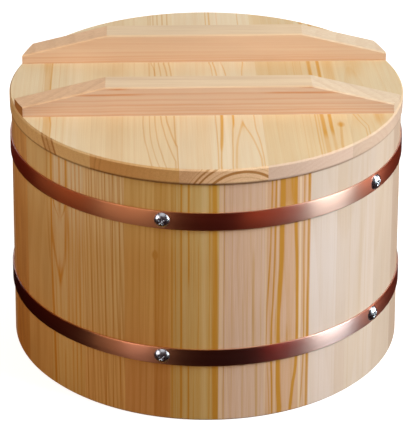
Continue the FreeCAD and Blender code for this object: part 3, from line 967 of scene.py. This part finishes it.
@dataclass
class Hoops:
    """The two copper hoops and their screws, with lengths in millimetres and angles in degrees."""

    copper: dict[str, SatinCopper] = field(default_factory=lambda: {
        "upper": SatinCopper(), "lower": SatinCopper(roughness=0.34)})
    steel: BrightSteel = BrightSteel()
    width: float = 12.0
    thickness: float = 1.2
    edge: float = 0.4
    play: float = 0.02
    lap: float = 26.0
    lap_step: float = 5.0
    lap_play: float = 0.1
    heights: dict[str, float] = field(default_factory=lambda: {"upper": 144.5, "lower": 47.6})
    first_screw: float = -14.0
    screw_step: float = 68.0
    screw_count: int = 5
    lap_screw: int = 3
    head_radius: float = 5.2
    head_height: float = 2.8
    recess_reach: float = 2.5
    recess_arm: float = 0.62
    recess_depth: float = 1.4
    recess_edge: float = 0.42
    recess_rise: float = 0.9
    weld: float = 0.002

    def profile(self) -> np.ndarray:
        """Section of the strip: a rounded rectangle as (out from the wall, up from the middle).

        Each corner is a quarter circle of the edge radius. The points run round once, anticlockwise.

        Returns:
            Points x 2, in millimetres.
        """
        turn = np.linspace(0.0, math.pi / 2, 5)
        half, far = self.width / 2 - self.edge, self.thickness - self.edge
        corners = ((far, half), (self.edge, half), (self.edge, -half), (far, -half))
        return np.vstack([np.stack([out + self.edge * np.cos(turn + quarter * math.pi / 2),
                                    up + self.edge * np.sin(turn + quarter * math.pi / 2)], axis=1)
                          for quarter, (out, up) in enumerate(corners)])

    def strip(self, name: str, height: float) -> Mesh:
        """A strip carried once round the wall, its last stretch lifted over its start.

        The lift is 0 as far as the step, rises smoothly by one thickness, and stays there for the lap.

        Args:
            name: the mesh's name.
            height: height of the strip's middle, in millimetres.

        Returns:
            The mesh.
        """
        radius = wall_radius(height)
        lap = math.degrees(self.lap / radius)
        step = math.degrees(self.lap_step / radius)
        start = self.first_screw + self.lap_screw * self.screw_step - lap / 2
        turn = np.concatenate([np.linspace(0.0, 360.0 - step, 700), np.linspace(360.0 - step, 360.0, 13)[1:],
                               np.linspace(360.0, 360.0 + lap, 26)[1:]])
        share = np.clip((turn - (360.0 - step)) / step, 0.0, 1.0)
        lift = self.play + (self.thickness + self.lap_play) * share * share * (3 - 2 * share)
        section = self.profile()
        up = height + section[None, :, 1] * np.ones((len(turn), 1))
        out = wall_radius(up) + lift[:, None] + section[None, :, 0]
        angle = np.radians(start + turn)[:, None]
        points = np.stack([out * np.sin(angle), -out * np.cos(angle), up], axis=-1) * MM
        run = np.radians(turn)[:, None] * radius * np.ones((1, len(section)))
        girth = np.cumsum(np.r_[0.0, np.hypot(*np.diff(section, axis=0).T)])
        around = girth[None, :] * np.ones((len(turn), 1))
        mesh = grid_mesh(name, points, close_columns=True, uv=np.stack([run, around], axis=-1) * MM)
        return self.capped(mesh, len(turn), len(section))

    @staticmethod
    def capped(mesh: Mesh, rows: int, columns: int) -> Mesh:
        """Closes both ends of a swept strip.

        Args:
            mesh: the open strip.
            rows: its points along the path.
            columns: its points round the section.

        Returns:
            The closed mesh.
        """
        work = bmesh.new()
        work.from_mesh(mesh)
        work.verts.ensure_lookup_table()
        work.faces.new([work.verts[i] for i in range(columns)])
        work.faces.new([work.verts[(rows - 1) * columns + i] for i in reversed(range(columns))])
        bmesh.ops.recalc_face_normals(work, faces=work.faces)
        work.to_mesh(mesh)
        work.free()
        return mesh

    def screw_head(self, azimuth: float, height: float, lift: float) -> np.ndarray:
        """A domed head with a cross recess, as a height over a disc.

        The dome is a cap of a ball. The recess is deepest in the middle and rises towards the arms' ends.

        Args:
            azimuth: angle from the front, in degrees.
            height: height of the screw, in millimetres.
            lift: how far the head stands off the wall, in millimetres.

        Returns:
            Rows x columns x 3 points, in metres.
        """
        ball = (self.head_radius ** 2 + self.head_height ** 2) / (2 * self.head_height)
        reach, turn = np.linspace(0.0, 1.0, 44) * self.head_radius, np.linspace(0.0, 2 * math.pi, 97)[:-1]
        r, t = np.meshgrid(reach, turn, indexing="ij")
        dome = np.sqrt(ball ** 2 - r ** 2) - (ball - self.head_height)
        a, b = np.abs(r * np.cos(t + math.pi / 4)), np.abs(r * np.sin(t + math.pi / 4))
        off = np.minimum(np.maximum(a - self.recess_reach, b - self.recess_arm),
                         np.maximum(b - self.recess_reach, a - self.recess_arm))
        inside = np.clip(0.5 - off / self.recess_edge, 0.0, 1.0)
        inside = inside * inside * (3 - 2 * inside)
        rise = self.recess_rise * np.minimum(r / self.recess_reach, 1.0)
        out = lift + dome - inside * self.recess_depth * (1.0 - rise)
        aside, above = r * np.cos(t), r * np.sin(t)
        forward = wall_radius(height) + out * math.cos(WALL_DRAFT) - above * math.sin(WALL_DRAFT)
        up = height + above * math.cos(WALL_DRAFT) + out * math.sin(WALL_DRAFT)
        angle = math.radians(azimuth)
        x = aside * math.cos(angle) + forward * math.sin(angle)
        y = aside * math.sin(angle) - forward * math.cos(angle)
        return np.stack([x, y, up], axis=-1) * MM

    def joined_heads(self, name: str, heads: Iterable[np.ndarray]) -> Mesh:
        """Joins several heads' grids into one mesh, each closed underneath.

        Args:
            name: the mesh's name.
            heads: one grid of points for each head.

        Returns:
            The mesh.
        """
        work = bmesh.new()
        for points in heads:
            mesh = grid_mesh(name, points, close_columns=True)
            work.from_mesh(mesh)
            bpy.data.meshes.remove(mesh)
        bmesh.ops.remove_doubles(work, verts=work.verts, dist=self.weld * MM)
        bmesh.ops.holes_fill(work, edges=[edge for edge in work.edges if edge.is_boundary], sides=0)
        bmesh.ops.recalc_face_normals(work, faces=work.faces)
        mesh = bpy.data.meshes.new(name)
        work.to_mesh(mesh)
        work.free()
        corners = np.zeros(len(mesh.polygons), np.int32)
        mesh.polygons.foreach_get("loop_total", corners)
        mesh.polygons.foreach_set("use_smooth", corners <= 4)
        return mesh

    def heads(self, height: float) -> Iterable[np.ndarray]:
        """One hoop's screw heads in turn, the one in the lap a strip and its play further out.

        Args:
            height: the hoop's height, in millimetres.

        Returns:
            Each head's points, one head after the other.
        """
        for index in range(self.screw_count):
            lift = self.play + self.thickness
            if index == self.lap_screw:
                lift += self.thickness + self.lap_play
            yield self.screw_head(self.first_screw + index * self.screw_step, height, lift)

    @staticmethod
    def add_piece(name: str, mesh: Mesh, material: Material) -> bpy.types.Object:
        """Links a mesh into the scene as a piece that rides on the tub.

        Args:
            name: the piece's name.
            mesh: its mesh, in place.
            material: its finish.

        Returns:
            The object.
        """
        made = link(name, mesh)
        mesh.materials.append(material)
        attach(made, BODY)
        return made

    def build(self) -> None:
        """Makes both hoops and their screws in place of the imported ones."""
        steel = self.steel.material("bright_steel")
        for which, height in self.heights.items():
            copper = self.copper[which].material(which + "_copper")
            name = which + "_hoop_strip"
            hoop = self.add_piece(name, self.strip(name, height), copper)
            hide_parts(which + "_hoop")
            name = which + "_screw_heads"
            piece = self.add_piece(name, self.joined_heads(name, self.heads(height)), steel)
            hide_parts(which + "_hoop_screws")
            LOG.info("made %s hoop and its screws", which)


# ---------------------------------------------------------------- studio


@dataclass(frozen=True)
class Softbox:
    """An area light: its side and height in degrees, its width and height in metres, its power in watts.

    One that isn't mirrored lights the wood but leaves no reflection in the metal; one that isn't lit
    does the reverse. It reaches only the pieces named in only, where there are any, and never those
    named in shuns.
    """

    name: str
    azimuth: float
    elevation: float
    size: tuple[float, float]
    power: float
    colour: Colour
    reach: float = 1.5
    mirrored: bool = True
    lit: bool = True
    only: tuple[str, ...] = ()
    shuns: tuple[str, ...] = ()


UPPER = ("upper_hoop_strip",)
LOWER = ("lower_hoop_strip",)
SCREWS = ("upper_screw_heads", "lower_screw_heads")

SOFTBOXES: tuple[Softbox, ...] = (
    Softbox("key", 64, 36, (0.55, 1.1), 18.3, (1, 0.975, 0.98), mirrored=False),
    Softbox("window", 72, 32, (0.6, 1.1), 8, (0.86, 0.97, 1)),
    Softbox("strip", 68.5, 9, (0.65, 0.5), 8.4, (0.82, 0.97, 1), lit=False),
    Softbox("low_strip", 72, 5, (0.6, 0.5), 8.2, (0.53, 0.75, 1), lit=False, only=LOWER),
    Softbox("tail", 96, 7, (0.5, 0.5), 2.3, (1, 0.5, 0.32), lit=False, shuns=SCREWS),
    Softbox("fill", -44, 24, (0.95, 0.8), 5.5, (1, 0.59, 0.31), shuns=SCREWS),
    Softbox("left_strip", -48, 8, (0.8, 0.4), 0.72, (1, 0.38, 0.16), lit=False, shuns=SCREWS),
    Softbox("low_left", -38, 5, (0.35, 0.4), 1.1, (1, 0.62, 0.52), lit=False, only=LOWER),
    Softbox("low_glow", -100, 5, (1.6, 0.5), 0.25, (1, 0.1, 0.05), lit=False, only=LOWER),
    Softbox("mid_left", -78, 5, (0.6, 0.5), 0.28, (1, 0.22, 0.03), lit=False, only=UPPER),
    Softbox("left_glow", -86, 5, (1.1, 0.5), 1.6, (1, 0.32, 0.12), shuns=LOWER + SCREWS),
    Softbox("left_back", -132, 5, (1.4, 0.5), 0.8, (1, 0.12, 0.05), lit=False, only=UPPER),
    Softbox("right_glow", 111, 5, (1.2, 0.5), 1.5, (1, 0.36, 0.18), mirrored=False),
    Softbox("right_red", 113, 5, (1.3, 0.5), 1.6, (1, 0.13, 0.02), lit=False, shuns=SCREWS),
    Softbox("front_glow", 35, 5, (0.9, 0.4), 1.6, (1, 0.2, 0.08), lit=False, only=UPPER),
    Softbox("front_low", 0, 5, (1.6, 0.5), 0.35, (1, 0.08, 0.03), lit=False, only=UPPER),
    Softbox("low_front", 42, 5, (0.65, 0.4), 1.1, (1, 0.02, 0), lit=False, only=LOWER),
    Softbox("ceiling", -32, 64, (0.5, 0.4), 1.9, (0.96, 0.98, 1), mirrored=False),
    Softbox("sky", -15, 66, (1.5, 1.3), 4, (0.94, 0.98, 1), lit=False, only=SCREWS),
    Softbox("glint", -66, 15, (1, 0.9), 6, (1, 0.98, 0.98), lit=False, only=SCREWS),
    Softbox("side_glint", 103, 9, (0.9, 0.6), 5, WHITE, lit=False, only=SCREWS),
    Softbox("rear", 180, 35, (0.6, 0.4), 0.8, (0.68, 0.85, 1), 0.6),
)


@dataclass
class Studio:
    """Floor, lights and camera."""

    azimuth: float = -2.0
    elevation: float = 27.24
    distance: float = 1.422
    aim_height: float = 0.0805
    aim_right: float = 0.0022
    roll: float = 0.30
    lens: float = 171.1
    light_height: float = 0.1
    room_light: Colour = (0.22, 0.135, 0.07)
    room_mirrored: Colour = (0.03, 0.004, 0.002)
    floor_half: float = 4.0
    floor_seen: Colour = (0.5, 0.5, 0.5)
    floor_light: Colour = (0.25, 0.23, 0.20)
    floor_mirrored: Colour = (0.01, 0.002, 0.002)
    floor_glow: float = 0.88

    @staticmethod
    def direction(azimuth: float, elevation: float) -> Vector:
        """Unit vector from the tub towards an azimuth and elevation, in degrees."""
        a, e = math.radians(azimuth), math.radians(elevation)
        return Vector((math.sin(a) * math.cos(e), -math.cos(a) * math.cos(e), math.sin(e)))

    def camera(self) -> None:
        """Sets the camera as the photograph has it."""
        target = Vector((0.0, 0.0, self.aim_height))
        place = target + self.direction(self.azimuth, self.elevation) * self.distance
        a = math.radians(self.azimuth)
        aim = target + Vector((math.cos(a), math.sin(a), 0.0)) * self.aim_right
        forward = (aim - place).normalized()
        level = forward.cross(Vector((0.0, 0.0, 1.0))).normalized()
        above = level.cross(forward)
        r = math.radians(self.roll)
        right = level * math.cos(r) + above * math.sin(r)
        up = above * math.cos(r) - level * math.sin(r)
        data = bpy.data.cameras.new("camera")
        data.lens = self.lens
        made = link("camera", data)
        made.matrix_world = Matrix.Translation(place) @ Matrix((right, up, -forward)).transposed().to_4x4()
        bpy.context.scene.camera = made

    def softbox(self, box: Softbox) -> None:
        """Adds one area light that faces the tub.

        Args:
            box: the light.
        """
        data = bpy.data.lights.new(box.name, "AREA")
        data.shape = "RECTANGLE"
        data.size, data.size_y = box.size
        data.energy = box.power
        data.color = box.colour
        made = link(box.name, data)
        towards = self.direction(box.azimuth, box.elevation)
        made.location = Vector((0.0, 0.0, self.light_height)) + towards * box.reach
        made.rotation_euler = towards.to_track_quat("Z", "Y").to_euler()
        made.visible_glossy = box.mirrored
        made.visible_diffuse = box.lit
        if box.only or box.shuns:
            chosen = bpy.data.collections.new(box.name + "_reach")
            for name in box.only or box.shuns:
                chosen.objects.link(bpy.data.objects[name])
            for item in chosen.collection_objects:
                item.light_linking.link_state = "INCLUDE" if box.only else "EXCLUDE"
            made.light_linking.receiver_collection = chosen

    def world(self) -> None:
        """A surround that is white to the eye, warm and dim to the wood and dark in reflections."""
        made = bpy.data.worlds.new("surround")
        made.use_nodes = True
        made.node_tree.nodes.clear()
        graph = Graph(made.node_tree)
        path = graph.node("LightPath").outputs
        lit = graph.blend(path["Is Glossy Ray"], self.room_light, self.room_mirrored)
        seen = graph.blend(path["Is Camera Ray"], lit, WHITE)
        graph.show(graph.answer(graph.node("Background"), seen), "World")
        bpy.context.scene.world = made

    def floor(self) -> None:
        """A plain pale floor, white to the eye and dark in the metal's reflections."""
        sides = np.array([-self.floor_half, self.floor_half])
        x, y = np.meshgrid(sides, sides)
        mesh = grid_mesh("floor", np.stack([x, y, np.zeros((2, 2))], axis=-1))
        made = link("floor", mesh)
        material, graph = new_material("pale_floor")
        path = graph.node("LightPath").outputs
        unseen = graph.blend(path["Is Glossy Ray"], self.floor_light, self.floor_mirrored)
        colour = graph.blend(path["Is Camera Ray"], unseen, self.floor_seen)
        paper = graph.answer(graph.node("BsdfDiffuse"), colour)
        strength = graph.times(path["Is Camera Ray"], self.floor_glow)
        glow = graph.answer(graph.node("Emission"), WHITE, strength)
        graph.show(graph.answer(graph.node("AddShader"), paper, glow))
        mesh.materials.append(material)

    def build(self) -> None:
        """Sets up the whole studio."""
        bpy.context.scene.view_settings.view_transform = "Standard"
        self.camera()
        self.world()
        self.floor()
        for box in SOFTBOXES:
            self.softbox(box)
        LOG.info("studio ready")


def main() -> None:
    """Builds the tub's finishes and the studio."""
    WoodGroups()
    StaveWall().build()
    Lid().build()
    Inside().build()
    Hoops().build()
    Studio().build()


if __name__ == "__main__":
    main()
